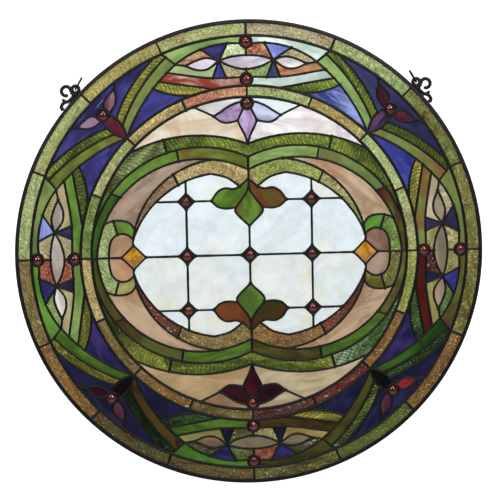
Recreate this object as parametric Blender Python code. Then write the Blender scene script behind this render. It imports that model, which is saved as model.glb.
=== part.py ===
"""Round leaded stained glass panel that hangs from two wrought scroll hangers on its rim.

The panel stands upright in the XZ plane and faces -Y. The origin is the hanging point, midway
between the upper ends of the two chain links, straight above the panel's centre.

The lead lines are drawn on a cartoon, in millimetres, as one octant of the outer zone and one
quadrant of the centre medallion, and mirrored. The cames are the lines of full depth: they cut
the panel into glass plates. The beads are shallow solder lines across the front of a plate,
where panes of the same plate meet. Each point of the cartoon keeps its share of the zone
between two of the panel's circles, so the pattern follows the circles' real radii.
"""
import math

import bmesh
import bpy
from mathutils import Matrix, Vector
from mathutils.geometry import delaunay_2d_cdt, tessellate_polygon

# Panel, in metres
PANEL_RADIUS = 0.3048
BORDER_WIDTH = 0.0208
OUTER_ZONE_WIDTH = 0.064
RING_WIDTH = 0.0145
BORDER_RADIUS = PANEL_RADIUS - BORDER_WIDTH
RING_OUTER_RADIUS = BORDER_RADIUS - OUTER_ZONE_WIDTH
RING_INNER_RADIUS = RING_OUTER_RADIUS - RING_WIDTH
GLASS_THICKNESS = 0.003
GAP = 0.0003

# Lead
LEAD_WIDTH = 0.0032
LEAD_RISE = 0.0012
BEAD_WIDTH = 0.0028
BEAD_RISE = 0.0010

# Rim, a U of flat strip that the border glass stands in
RIM_FACE = 0.0048
RIM_WALL = 0.0018
RIM_DEPTH = 0.0084
RIM_CHAMFER = 0.0012
RIM_FACETS = 36

# Jewels, domed above the glass that they are set in
JEWEL_RADIUS = 0.006
JEWEL_RISE = 0.004
JEWEL_TOP = 0.62
JEWEL_FACETS = 6
SQUARE_JEWEL_HALF = 0.0105

# Hangers, scrolls of flat bar on the rim, and the chain link in each one's eye
HANGER_ANGLE = 43.0
HANGER_BAR = 0.0028
HANGER_DEPTH = 0.0026
CURL_RADIUS = 0.0052
EYE_RADIUS = 0.0044
CURL_START = -60
CURL_END = 250
CURL_FACETS = 8
EYE_FACETS = 8
NECK_WIDTH = 0.0042
LINK_WIRE = 0.0020
LINK_LENGTH = 0.0165
LINK_WIDTH = 0.0090
LINK_PLAY = 0.0008
LINK_LEAN = 13.0
LINK_SIDES = 6
LINK_BEND_FACETS = 4

# The cartoon: its circles, spacings and facets, in millimetres and degrees
MM = 0.001
RING_INNER = 205.5
RING_OUTER = 220.0
BORDER = 284.0
EDGE = 304.8
DIVIDER_ANGLE = 22.5
CIRCLE_FACETS = 32
FACET_ERROR = 2.6
STRAIGHT = 0.05
MERGE = 0.3
OVERSHOOT = 2.0
FLAT_RISE = 0.8
DIAMOND = 10.5
SQUARE = 15.6

# Points where several lines of the cartoon meet
STAR = (35.0, 252.5)
EYE_TIP = (91.0, 248.5)
LENS_TIP = (78.0, 246.5)
STRAP_FOOT = (153.0, 163.0)
PETAL_ROOT = (177.0, 187.0)
PETAL_TIP = (171.0, 219.0)
CRESCENT_TIP = (149.0, 37.0)
SCROLL_ROOT = (151.0, 24.0)
LEAF_TOP = (11.4, 89.7)
LATTICE_X = 81.5
LATTICE_Z = 71.5
LEAF_TIP = (48.8, LATTICE_Z)
LEAF_FOOT = (17.6, 62.2)
FLOWER_TIP = (43.4, 181.2)
FLOWER_WAIST = (12.5, 175.0)
AMBER_CENTRE = (151.2, 0.0)
OCTANT_JEWELS = [(0.0, 276.0), (0.0, 228.0), (185.6, 185.6)]
QUADRANT_JEWELS = [(0.0, 197.5), (0.0, 0.0), (LATTICE_X, 0.0), (LATTICE_X, LATTICE_Z)]

# Hanger points, in millimetres along the rim towards the top and out from it
CURL_CENTRE = (1.0, 12.3)
EYE_CENTRE = (10.5, 5.9)
FOOT_LINE = [(13, 1.7), (-2, 1.7), (-9, 2.7)]
NECK_LINE = [(4.5, 1.7), (5.2, 5)]
LOOP_LINE = [(-7, 2.7), (-10, 4.6), (-14.5, 6), (-18.6, 4.8), (-20.5, 1.7), (-18, 1.7)]
NUB_LINE = [(-10, 4.4), (-9.8, 9)]

# Plates: name, a point inside, how many mirror images, and finish
PLATES = [
    ("lattice_glass", (30, 20), 1, "white"),
    ("leaves", (0, 80), 2, "leaf"),
    ("gold_band", (0, 105), 2, "gold"),
    ("beige_crescent", (140, 80), 4, "beige"),
    ("green_band", (50, 132), 4, "green"),
    ("ripple_band", (0, 137), 2, "ripple"),
    ("cream_field", (90, 165), 4, "cream"),
    ("flower", (0, 180), 2, "plum"),
    ("scroll_glass", (160, 37), "sides", "green"),
    ("amber_diamond", AMBER_CENTRE, "sides", "amber"),
    ("ring_glass", (0, 213), "axes", "gold"),
    ("cartouche_glass", (0, 250), "axes", "cream"),
    ("strap_glass", (140, 215), 8, "blue"),
    ("corner_flower", (170, 170), 4, "plum"),
]

# Finishes: colour, roughness, metallic and alpha
FINISHES = {
    "lead": ((0.035, 0.035, 0.04), 0.45, 0.8, 1.0),
    "iron": ((0.03, 0.03, 0.035), 0.55, 0.7, 1.0),
    "white": ((0.62, 0.70, 0.76), 0.25, 0.0, 1.0),
    "leaf": ((0.10, 0.20, 0.05), 0.25, 0.0, 1.0),
    "gold": ((0.36, 0.30, 0.08), 0.25, 0.0, 1.0),
    "border": ((0.30, 0.30, 0.11), 0.25, 0.0, 1.0),
    "beige": ((0.48, 0.33, 0.22), 0.25, 0.0, 1.0),
    "green": ((0.16, 0.22, 0.06), 0.25, 0.0, 1.0),
    "ripple": ((0.20, 0.19, 0.04), 0.25, 0.0, 1.0),
    "cream": ((0.55, 0.50, 0.42), 0.25, 0.0, 1.0),
    "plum": ((0.16, 0.06, 0.10), 0.25, 0.0, 1.0),
    "amber": ((0.45, 0.20, 0.02), 0.15, 0.0, 1.0),
    "blue": ((0.03, 0.04, 0.20), 0.25, 0.0, 1.0),
}
finishes = {}


def on_circle(radius, degrees):
    angle = math.radians(degrees)
    return (radius * math.cos(angle), radius * math.sin(angle))


def circle_line(radius):
    return [on_circle(radius, 360 * i / CIRCLE_FACETS) for i in range(CIRCLE_FACETS + 1)]


def arc(start, end, bulge):
    """An arc whose middle stands bulge to the left of the straight way from start to end."""
    chord = math.dist(start, end)
    turn = 4 * math.atan2(2 * abs(bulge), chord)
    if abs(bulge) < STRAIGHT:
        return [start, end]
    radius = chord / 2 / math.sin(turn / 2)
    facet = 2 * math.acos(1 - min(1.0, FACET_ERROR / radius))
    steps = max(1, round(turn / facet))
    across = Vector((start[1] - end[1], end[0] - start[0])) * math.copysign(1 / chord, bulge)
    centre = (Vector(start) + Vector(end)) / 2 + across * (abs(bulge) - radius)
    spoke = Vector(start) - centre
    points = []
    for i in range(steps + 1):
        angle = -math.copysign(turn, bulge) * i / steps
        points.append(tuple(centre + Matrix.Rotation(angle, 2) @ spoke))
    return points


def mirrored(line):
    return [[(x * across, z * up) for x, z in line] for across in (1, -1) for up in (1, -1)]


def swapped(line):
    return [(z, x) for x, z in line]


def eight(lines):
    return four([half for line in lines for half in (line, swapped(line))])


def four(lines):
    """The lines with their mirror images, each place once."""
    copies = {}
    for line in lines:
        for copy in mirrored(line):
            key = frozenset((round(x, 1) + 0.0, round(z, 1) + 0.0) for x, z in copy)
            copies.setdefault(key, copy)
    return list(copies.values())


def across_axis(line):
    """The line, which starts on the upright axis, carried on to its mirror image."""
    return [(-x, z) for x, z in reversed(line[1:])] + line


def across_side(line):
    """The line, which starts on the level axis, carried on to its mirror image."""
    return [(x, -z) for x, z in reversed(line[1:])] + line


def diamond(centre, half):
    x, z = centre
    return [(x + half, z), (x, z + half), (x - half, z), (x, z - half), (x + half, z)]


def came_lines():
    """The lines between plates."""
    corner = on_circle(RING_OUTER, 45)
    circles = [circle_line(radius) for radius in (RING_INNER, RING_OUTER, BORDER)]
    outer = [
        [EYE_TIP, on_circle(BORDER, 90 - DIVIDER_ANGLE)],
        [corner, STRAP_FOOT] + arc(STRAP_FOOT, EYE_TIP, -6.3)[1:],
        [corner, (159, 168), (166, 178.5), PETAL_ROOT],
        [PETAL_ROOT, (170, 199), (168.5, 209), PETAL_TIP, on_circle(BORDER, 53.5)],
    ]
    medallion = [
        [on_circle(RING_INNER, 45), corner],
        arc((0, 144.8), on_circle(RING_INNER, 41), 16.8),
        arc((0, 128), on_circle(RING_INNER, 9), 52.9),
        arc((0, 111.2), (198.9, 0), 61.5),
        arc((43, 125.6), CRESCENT_TIP, 21.7),
        [CRESCENT_TIP, SCROLL_ROOT],
        [(0, 99.6), LEAF_TOP],
        arc(LEAF_TOP, (48, 107), 4),
        arc((48, 107), SCROLL_ROOT, 18.6),
        [SCROLL_ROOT, (AMBER_CENTRE[0], SQUARE)],
        [(0, 111.2), (0, 128)],
        [(198.9, 0), (RING_INNER, 0)],
        diamond(AMBER_CENTRE, SQUARE),
        [LEAF_TOP, (19.8, 86.4), (31.5, 87.5), (41, 82.4), LEAF_TIP],
        [LEAF_TIP, (40.5, 63.5), (30, 61), LEAF_FOOT],
        [LEAF_FOOT, (18, 57), (0, 37.5)],
        [(8, RING_INNER), (8.5, 198), (14, 197.8), (25, 193), FLOWER_TIP],
        [FLOWER_TIP, (34, 173.7), FLOWER_WAIST],
        [FLOWER_WAIST, (6, 162), (0, 144.8)],
        [CRESCENT_TIP, (155.5, 45.5), (167, 49), (187.6, 45)],
    ]
    return circles + eight(outer) + four(medallion)


def bead_lines():
    """The lines across a plate, from came to came."""
    outer = [
        arc((7.2, 274), EYE_TIP, 8.6),
        [(24.2, 274), STAR, (43.2, 231)],
        [(56.5, 266), STAR, (26.3, 231)],
        across_axis([(0, 259), STAR, (57, 256), LENS_TIP]),
        across_axis([(0, 241), STAR, (57, 240.8), EYE_TIP]),
        [(7.4, 230.7), (50, 230.7), (100, 238)],
        [(41, 216), (110, 226.5)],
        [(67, 209.5), (117.5, 217)],
        [(161, 172), (140, 216), (105, 256.5)],
        [(168, 183), (147, 225), (116, 260)],
        [PETAL_ROOT, (184, 200), PETAL_TIP],
    ]
    medallion = [
        [(108.7, 150), (105.4, 135.5)],
        [(165.8, 79.5), (178, 84)],
        [(97, 106.5), (92.5, 96.3)],
        [(0, 93), (0, 111.2)],
        [(DIAMOND, 0), (LATTICE_X - DIAMOND, 0)],
        [(LATTICE_X + DIAMOND, 0), (AMBER_CENTRE[0] - SQUARE, 0)],
        [LEAF_TIP, (LATTICE_X - DIAMOND, LATTICE_Z)],
        [(LATTICE_X + DIAMOND, LATTICE_Z), (117, LATTICE_Z)],
        [(0, DIAMOND), (0, 37.5)],
        [(LATTICE_X, DIAMOND), (LATTICE_X, LATTICE_Z - DIAMOND)],
        [(LATTICE_X, LATTICE_Z + DIAMOND), (LATTICE_X, 97.5)],
        diamond((0, 0), DIAMOND),
        diamond((LATTICE_X, 0), DIAMOND),
        diamond((LATTICE_X, LATTICE_Z), DIAMOND),
        across_axis([(0, 92), LEAF_FOOT]),
        [FLOWER_TIP, on_circle(RING_INNER, 70.3)],
        across_side([(183.5, 0), (178, 27), SCROLL_ROOT]),
        [(AMBER_CENTRE[0] + SQUARE, 0), (198.9, 0)],
    ]
    dividers = [[on_circle(RING_INNER, angle), on_circle(RING_OUTER, angle)] for angle in divider_angles()]
    return eight(outer) + four(medallion) + dividers


def divider_angles():
    """Where beads cross the ring and the border; cames cross them at the diagonals."""
    angles = [DIVIDER_ANGLE * i for i in range(round(360 / DIVIDER_ANGLE))]
    return [angle for angle in angles if angle % 90 != 45]


def fitted(point):
    """The real place of a point of the cartoon, in metres."""
    drawn = (0.0, RING_INNER, RING_OUTER, BORDER, EDGE)
    built = (0.0, RING_INNER_RADIUS, RING_OUTER_RADIUS, BORDER_RADIUS, PANEL_RADIUS)
    reach = math.hypot(*point)
    for low, high, built_low, built_high in zip(drawn, drawn[1:], built, built[1:]):
        if reach <= high:
            share = (reach - low) / (high - low)
            scale = (built_low + share * (built_high - built_low)) / max(reach, STRAIGHT)
            return Vector((point[0] * scale, point[1] * scale))
    return Vector(point) * (PANEL_RADIUS / EDGE)


def joined(lines):
    """The lines' points and edges, with shared points joined and free ends drawn a little on."""
    points = []
    uses = []

    def index_of(place):
        for index, other in enumerate(points):
            if (other - place).length < MERGE:
                return index
        points.append(place)
        uses.append(0)
        return len(points) - 1

    runs = [[index_of(Vector(point)) for point in line] for line in lines]
    for run in runs:
        for index in set(run):
            uses[index] += 1
    edges = set()
    for run in runs:
        for end, inner in ((0, 1), (-1, -2)):
            if uses[run[end]] == 1:
                place = points[run[end]]
                place += (place - points[run[inner]]).normalized() * OVERSHOOT
        edges.update(tuple(sorted(pair)) for pair in zip(run, run[1:]) if pair[0] != pair[1])
    return points, sorted(edges)


def without_spurs(points, edges):
    """The edges that are left once every loose end is cut back to its crossing."""
    edges = set(edges)
    while True:
        count = [0] * len(points)
        for edge in edges:
            for index in edge:
                count[index] += 1
        loose = {edge for edge in edges if 1 in (count[edge[0]], count[edge[1]])}
        if not loose:
            return sorted(edges)
        edges -= loose


def outlines(lines):
    """The outlines of the spaces between the lines, anticlockwise, in the cartoon's millimetres."""
    crossed = delaunay_2d_cdt(*joined(lines), [], 3, MERGE / 10)
    points = crossed[0]
    closed = delaunay_2d_cdt(points, without_spurs(points, crossed[1]), [], 3, MERGE / 10)
    return [plain([closed[0][index] for index in face]) for face in closed[2]]


def plain(outline):
    """The outline without the points that hardly bend it."""
    kept = list(outline)
    while True:
        rises = [rise(kept[i - 1], kept[i], kept[(i + 1) % len(kept)]) for i in range(len(kept))]
        flattest = min(range(len(kept)), key=rises.__getitem__)
        if rises[flattest] > FLAT_RISE:
            return kept
        del kept[flattest]


def rise(before, point, after):
    """How far the point stands off the straight way between its neighbours."""
    along = after - before
    return abs(along.x * (point - before).y - along.y * (point - before).x) / along.length


def offset_outline(outline, distance):
    """The outline moved inwards by distance, without the edges that vanish on the way."""
    sides = []
    for start, end in zip(outline, outline[1:] + outline[:1]):
        along = (end - start).normalized()
        inwards = Vector((-along.y, along.x))
        sides.append((start + inwards * distance, along))
    while len(sides) > 3:
        corners = [crossing(sides[i - 1], sides[i]) for i in range(len(sides))]
        lengths = [(corners[(i + 1) % len(sides)] - corners[i]).dot(sides[i][1]) for i in range(len(sides))]
        shortest = min(range(len(sides)), key=lengths.__getitem__)
        if lengths[shortest] > GAP:
            return corners
        del sides[shortest]
    return corners


def crossing(first, second):
    """Where two sides cross, or the second one's start if they run the same way."""
    (start, along), (other, heading) = first, second
    turn = along.x * heading.y - along.y * heading.x
    if abs(turn) < 1e-3:
        return other.copy()
    reach = ((other.x - start.x) * heading.y - (other.y - start.y) * heading.x) / turn
    return start + along * reach


def material(name, colour, roughness, metallic=0.0, alpha=1.0):
    made = bpy.data.materials.new(name)
    made.use_nodes = True
    shader = made.node_tree.nodes["Principled BSDF"]
    shader.inputs["Base Color"].default_value = (*colour, 1.0)
    shader.inputs["Roughness"].default_value = roughness
    shader.inputs["Metallic"].default_value = metallic
    shader.inputs["Alpha"].default_value = alpha
    return made


def add_object(name, mesh, finish, panel):
    """An object of the panel; the builder's coordinates are the panel's own, from its centre."""
    bmesh.ops.recalc_face_normals(mesh, faces=mesh.faces)
    data = bpy.data.meshes.new(name)
    mesh.to_mesh(data)
    mesh.free()
    data.materials.append(finish)
    made = bpy.data.objects.new(name, data)
    bpy.context.scene.collection.objects.link(made)
    made.parent = panel
    return made


def unite(target, name, mesh, finish, panel):
    """Unite another closed mesh with the target; the united mesh is left out of the build."""
    tool = add_object(name, mesh, finish, panel)
    tool.hide_render = True
    tool.display_type = "WIRE"
    union = target.modifiers.new(name, "BOOLEAN")
    union.operation = "UNION"
    union.use_self = True
    union.object = tool


def slab(mesh, outer, holes, front, back):
    """A flat plate with straight walls between two depths, with any holes cut through it."""
    loops = [outer] + holes
    flat = [point for loop in loops for point in loop]
    near = [mesh.verts.new((point.x, front, point.y)) for point in flat]
    far = [mesh.verts.new((point.x, back, point.y)) for point in flat]
    for corners in tessellate_polygon([[point.to_3d() for point in loop] for loop in loops]):
        mesh.faces.new([near[index] for index in corners])
        mesh.faces.new([far[index] for index in reversed(corners)])
    first = 0
    for loop in loops:
        for i in range(len(loop)):
            here, there = first + i, first + (i + 1) % len(loop)
            mesh.faces.new((near[here], near[there], far[there], far[here]))
        first += len(loop)


def bead(mesh, places):
    """A solder line of three-sided section through the places, foot on the glass, ridge in front."""
    foot = -GLASS_THICKNESS / 2 - GAP
    closed = len(places) > 3 and (places[0] - places[-1]).length < GAP
    if closed:
        places.pop()
    sections = []
    left_side, right_side = widened(places, BEAD_WIDTH, closed)
    for left, place, right in zip(left_side, places, right_side):
        sections.append([mesh.verts.new((left.x, foot, left.y)),
                         mesh.verts.new((place.x, foot - BEAD_RISE, place.y)),
                         mesh.verts.new((right.x, foot, right.y))])
    pairs = list(zip(sections, sections[1:]))
    if closed:
        pairs.append((sections[-1], sections[0]))
    for first, second in pairs:
        for i in range(3):
            mesh.faces.new((first[i], second[i], second[(i + 1) % 3], first[(i + 1) % 3]))
    if not closed:
        mesh.faces.new(sections[0])
        mesh.faces.new(reversed(sections[-1]))


def sides_of(point, copies):
    """The names and places of a point's mirror images: in halves, quarters or eighths."""
    x, z = point
    if copies == 1:
        return [("", point)]
    if copies == 2:
        return [("upper", (x, z)), ("lower", (x, -z))]
    if copies == "sides":
        return [("right", (x, z)), ("left", (-x, z))]
    if copies == "axes":
        return [("top", (0, z)), ("bottom", (0, -z)), ("right", (z, 0)), ("left", (-z, 0))]
    quarters = [(f"{tall}_{wide}", (x * across, z * up))
                for tall, up in (("upper", 1), ("lower", -1)) for wide, across in (("right", 1), ("left", -1))]
    if copies == 4:
        return quarters
    steep = [(f"{name}_steep", place) for name, place in quarters]
    return steep + [(f"{name}_flat", (math.copysign(z, px), math.copysign(x, pz))) for name, (px, pz) in quarters]


def inside(point, outline):
    crossings = 0
    for start, end in zip(outline, outline[1:] + outline[:1]):
        if (start[1] > point[1]) != (end[1] > point[1]):
            share = (point[1] - start[1]) / (end[1] - start[1])
            crossings += point[0] < start[0] + share * (end[0] - start[0])
    return crossings % 2 == 1


def frustum(mesh, centre, radius, sides):
    """A jewel that stands in the glass at a point of the cartoon, faceted down to a flat top."""
    base, top = -GLASS_THICKNESS / 4, -GLASS_THICKNESS / 2 - JEWEL_RISE
    middle = fitted(centre)
    rings = []
    for reach, depth in ((radius, base), (radius * JEWEL_TOP, top)):
        ring = []
        for i in range(sides):
            angle = 2 * math.pi * i / sides
            ring.append(mesh.verts.new((middle.x + reach * math.cos(angle), depth, middle.y + reach * math.sin(angle))))
        rings.append(ring)
    mesh.faces.new(rings[0])
    mesh.faces.new(reversed(rings[-1]))
    for near, far in zip(rings, rings[1:]):
        for i in range(sides):
            mesh.faces.new((near[i], far[i], far[(i + 1) % sides], near[(i + 1) % sides]))


def jewel_places():
    """The panel's round jewels, each at a point of the cartoon."""
    places = {copy[0] for copy in eight([[point] for point in OCTANT_JEWELS])}
    return sorted(places | {copy[0] for copy in four([[point] for point in QUADRANT_JEWELS])})


def build_plates(panel, spaces):
    """One plate for each space between the cames, with the jewels that are set in it."""
    jewels = jewel_places()
    for label, point, copies, finish in PLATES:
        for side, place in sides_of(point, copies):
            outline = next(space for space in spaces if inside(place, space))
            mesh = bmesh.new()
            edge = offset_outline([fitted(corner) for corner in outline], LEAD_WIDTH / 2 + GAP)
            slab(mesh, edge, [], -GLASS_THICKNESS / 2, GLASS_THICKNESS / 2)
            name = f"{side}_{label}" if side else label
            plate = add_object(name, mesh, finishes[finish], panel)
            held = [jewel for jewel in jewels if inside(jewel, outline)]
            stones = bmesh.new()
            for jewel in held:
                frustum(stones, jewel, JEWEL_RADIUS, JEWEL_FACETS)
            if inside(AMBER_CENTRE, outline) or inside((-AMBER_CENTRE[0], 0), outline):
                frustum(stones, (math.copysign(AMBER_CENTRE[0], place[0]), 0), SQUARE_JEWEL_HALF, 4)
            if stones.faces:
                unite(plate, f"{name}_stones", stones, finishes[finish], panel)
            else:
                stones.free()


def border_outline(start, end):
    """The outline of border glass between two dividers, from the border line to the rim's wall."""
    step = 360 / CIRCLE_FACETS
    angles = [start + step * i for i in range(round((end - start) / step) + 1)]
    wall = (PANEL_RADIUS - RIM_WALL) * math.cos(math.pi / RIM_FACETS)
    far = [Vector(on_circle(wall + LEAD_WIDTH / 2, angle)) for angle in angles]
    near = [Vector(on_circle(BORDER_RADIUS, angle)) for angle in reversed(angles)]
    return far + near


def build_border(panel):
    """The glass between the border line and the rim, a plate to each side of the panel."""
    for name, middle in (("right", 0), ("top", 90), ("left", 180), ("bottom", 270)):
        mesh = bmesh.new()
        outline = offset_outline(border_outline(middle - 45, middle + 45), LEAD_WIDTH / 2 + GAP)
        slab(mesh, outline, [], -GLASS_THICKNESS / 2, GLASS_THICKNESS / 2)
        add_object(f"{name}_border_glass", mesh, finishes["border"], panel)


def flange_reach():
    """How far out a border divider goes, to the inner edge of the rim's flange."""
    return (PANEL_RADIUS - RIM_FACE) * math.cos(math.pi / RIM_FACETS) - GAP


def build_lead(panel, spaces):
    """The lead network: cames of full depth round every plate, and beads across the plates."""
    depth = GLASS_THICKNESS / 2 + GAP + LEAD_RISE
    rim_side = BORDER_RADIUS + LEAD_WIDTH / 2 / math.cos(math.pi / CIRCLE_FACETS)
    outer = [Vector(on_circle(rim_side, 360 * i / CIRCLE_FACETS)) for i in range(CIRCLE_FACETS)]
    holes = [offset_outline([fitted(corner) for corner in space], LEAD_WIDTH / 2) for space in spaces]
    mesh = bmesh.new()
    slab(mesh, outer, holes, -depth, depth)
    lead = add_object("lead_network", mesh, finishes["lead"], panel)
    dividers = bmesh.new()
    for quarter in range(4):
        out = Vector(on_circle(1, 45 + 90 * quarter))
        across = Vector((-out.y, out.x)) * (LEAD_WIDTH / 2)
        near, far = out * BORDER_RADIUS, out * flange_reach()
        level = depth - GAP / 4
        slab(dividers, [near - across, far - across, far + across, near + across], [], -level, level)
    unite(lead, "border_dividers", dividers, finishes["lead"], panel)
    beads = bmesh.new()
    for line in bead_lines():
        bead(beads, [fitted(point) for point in line])
    for angle in divider_angles():
        bead(beads, [Vector(on_circle(reach, angle)) for reach in (BORDER_RADIUS, flange_reach())])
    unite(lead, "beads", beads, finishes["lead"], panel)


def build_rim(panel):
    """The rim, a U of strip turned round the panel with its mouth inwards."""
    wall, face = PANEL_RADIUS - RIM_WALL, PANEL_RADIUS - RIM_FACE
    half, mouth = RIM_DEPTH / 2, GLASS_THICKNESS / 2 + GAP
    chamfered = PANEL_RADIUS - RIM_CHAMFER
    profile = [(face, -half), (chamfered, -half), (PANEL_RADIUS, RIM_CHAMFER - half), (PANEL_RADIUS, half),
               (face, half), (face, mouth), (wall, mouth), (wall, -mouth), (face, -mouth)]
    mesh = bmesh.new()
    rings = []
    for i in range(RIM_FACETS):
        x, z = on_circle(1, 360 * i / RIM_FACETS)
        rings.append([mesh.verts.new((reach * x, depth, reach * z)) for reach, depth in profile])
    for near, far in zip(rings, rings[1:] + rings[:1]):
        for i in range(len(profile)):
            following = (i + 1) % len(profile)
            mesh.faces.new((near[i], near[following], far[following], far[i]))
    add_object("rim", mesh, finishes["iron"], panel)


def from_rim(along, out, side):
    """A hanger's own point: metres along the rim towards the top, and out from it."""
    angle = math.radians(HANGER_ANGLE) + along / PANEL_RADIUS
    reach = PANEL_RADIUS + out
    return Vector((side * reach * math.cos(angle), reach * math.sin(angle)))


def placed(line, side):
    """The real places of a hanger's points."""
    return [from_rim(along * MM, out * MM, side) for along, out in line]


def widened(places, width, closed):
    """The two sides of a strip of this width along the places."""
    left, right = [], []
    for i, place in enumerate(places):
        before = places[i - 1] if i or closed else None
        after = places[(i + 1) % len(places)] if i + 1 < len(places) or closed else None
        ways = [(b - a).normalized() for a, b in ((before, place), (place, after)) if a and b]
        along = sum(ways, Vector((0, 0))).normalized()
        across = Vector((-along.y, along.x)) * (width / 2 / along.dot(ways[0]))
        left.append(place + across)
        right.append(place - across)
    return left, right


def stroke(mesh, places, width, closed=False):
    """A flat bar of the hanger through the places, as deep as the hanger."""
    left, right = widened(places, width, closed)
    if closed:
        slab(mesh, left, [right], -HANGER_DEPTH / 2, HANGER_DEPTH / 2)
    else:
        slab(mesh, left + right[::-1], [], -HANGER_DEPTH / 2, HANGER_DEPTH / 2)


def ring_points(centre, radius, start, end, steps):
    """Points on a round stretch of the hanger, in its own millimetres."""
    angles = [math.radians(start + (end - start) * i / steps) for i in range(steps + 1)]
    return [(centre[0] + radius * math.cos(angle), centre[1] + radius * math.sin(angle)) for angle in angles]


def build_hangers(panel):
    """Two scroll hangers, mirror images, each with a link of chain through its eye."""
    curl = ring_points(CURL_CENTRE, CURL_RADIUS / MM, CURL_START, CURL_END, CURL_FACETS)
    eye = ring_points(EYE_CENTRE, EYE_RADIUS / MM, 0, 360 - 360 / EYE_FACETS, EYE_FACETS - 1)
    strokes = [
        ("neck", NECK_LINE + curl[:1], NECK_WIDTH, False),
        ("curl", curl, HANGER_BAR, False),
        ("eye", eye, HANGER_BAR, True),
        ("loop", LOOP_LINE, HANGER_BAR, False),
        ("nub", NUB_LINE, HANGER_BAR, False),
    ]
    for name, side in (("right", 1), ("left", -1)):
        mesh = bmesh.new()
        stroke(mesh, placed(FOOT_LINE, side), HANGER_BAR)
        hanger = add_object(f"{name}_hanger", mesh, finishes["iron"], panel)
        for label, line, width, closed in strokes:
            mesh = bmesh.new()
            stroke(mesh, placed(line, side), width, closed)
            unite(hanger, f"{name}_hanger_{label}", mesh, finishes["iron"], panel)
        build_link(panel, name, side)


def link_ends(side):
    """The centres of the link's two bends: in the hanger's eye, and where the chain goes on."""
    turn = math.radians(HANGER_ANGLE + 90 - LINK_LEAN)
    pull = Vector((side * math.cos(turn), math.sin(turn)))
    seat = EYE_RADIUS - (HANGER_BAR + LINK_WIRE) / 2 - LINK_PLAY
    middle = from_rim(EYE_CENTRE[0] * MM, EYE_CENTRE[1] * MM, side)
    low = middle + pull * (seat + (LINK_WIDTH - LINK_WIRE) / 2)
    return low, low + pull * (LINK_LENGTH - LINK_WIDTH)


def build_link(panel, name, side):
    """An oval link of round wire, edge on to the front, through the hanger's eye."""
    low, high = link_ends(side)
    pull = (high - low).normalized()
    bend = (LINK_WIDTH - LINK_WIRE) / 2
    mesh = bmesh.new()
    rings = []
    for centre, start in ((high, 0), (low, 180)):
        for i in range(LINK_BEND_FACETS + 1):
            angle = math.radians(start + 180 * i / LINK_BEND_FACETS)
            ring = []
            for k in range(LINK_SIDES):
                wire = 2 * math.pi * (k + 0.5) / LINK_SIDES
                reach = bend + LINK_WIRE / 2 * math.cos(wire)
                place = centre + pull * (reach * math.sin(angle))
                beside = Vector((-pull.y, pull.x)) * (LINK_WIRE / 2 * math.sin(wire))
                ring.append(mesh.verts.new((place.x + beside.x, reach * math.cos(angle), place.y + beside.y)))
            rings.append(ring)
    for near, far in zip(rings, rings[1:] + rings[:1]):
        for k in range(LINK_SIDES):
            following = (k + 1) % LINK_SIDES
            mesh.faces.new((near[k], near[following], far[following], far[k]))
    link = add_object(f"{name}_chain_link", mesh, finishes["iron"], panel)
    link.data.shade_smooth()


def main():
    for old in list(bpy.data.objects):
        bpy.data.objects.remove(old)
    for key, (colour, roughness, metallic, alpha) in FINISHES.items():
        finishes[key] = material(key, colour, roughness, metallic, alpha)
    panel = bpy.data.objects.new("panel", None)
    bpy.context.scene.collection.objects.link(panel)
    panel.location = (0, 0, -link_ends(1)[1].y)
    spaces = outlines(came_lines())
    build_lead(panel, spaces)
    build_plates(panel, spaces)
    build_border(panel)
    build_rim(panel)
    build_hangers(panel)


main()
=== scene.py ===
"""Finished look of a round leaded stained glass panel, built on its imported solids.

The lead lines are drawn once, in millimetres from the panel's centre, X to the right and Z up.
The same drawing gives the panes, cut from sheets of opalescent glass, and the solder seams.
"""

import math
import random

import bmesh
import bpy
from mathutils import Matrix, Vector
from mathutils.geometry import delaunay_2d_cdt


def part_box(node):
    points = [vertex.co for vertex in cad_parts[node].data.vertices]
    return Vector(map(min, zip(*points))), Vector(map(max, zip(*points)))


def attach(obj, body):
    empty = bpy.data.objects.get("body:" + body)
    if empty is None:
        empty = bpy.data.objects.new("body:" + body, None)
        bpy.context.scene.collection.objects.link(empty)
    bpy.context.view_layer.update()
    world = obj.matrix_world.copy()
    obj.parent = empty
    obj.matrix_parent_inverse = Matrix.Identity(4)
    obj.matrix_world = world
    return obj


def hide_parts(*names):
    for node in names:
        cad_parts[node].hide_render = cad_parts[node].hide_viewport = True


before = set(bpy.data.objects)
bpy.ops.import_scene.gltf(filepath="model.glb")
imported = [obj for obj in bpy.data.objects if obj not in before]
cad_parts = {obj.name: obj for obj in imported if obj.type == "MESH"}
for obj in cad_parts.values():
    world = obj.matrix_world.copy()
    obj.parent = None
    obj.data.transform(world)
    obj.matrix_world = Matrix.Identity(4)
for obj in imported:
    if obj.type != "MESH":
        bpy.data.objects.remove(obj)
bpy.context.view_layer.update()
rim_low, rim_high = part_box("rim")
CENTRE = (rim_low + rim_high) / 2
MM = 0.001
UPRIGHT = Matrix.Translation(CENTRE) @ Matrix.Rotation(math.radians(90), 4, "X") @ Matrix.Scale(MM, 4)

# Sizes of the panel, in millimetres
EDGE = 304.8
BORDER = 284.0
RING_OUTER = 220.0
RING_INNER = 205.5
GLASS_EDGE = 302.6
GLASS_FRONT = 1.5
GLASS_UNDER_LEAD = 0.9
PANE_LEAN = 0.35
STEEPEST_LEAN = 0.012

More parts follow.
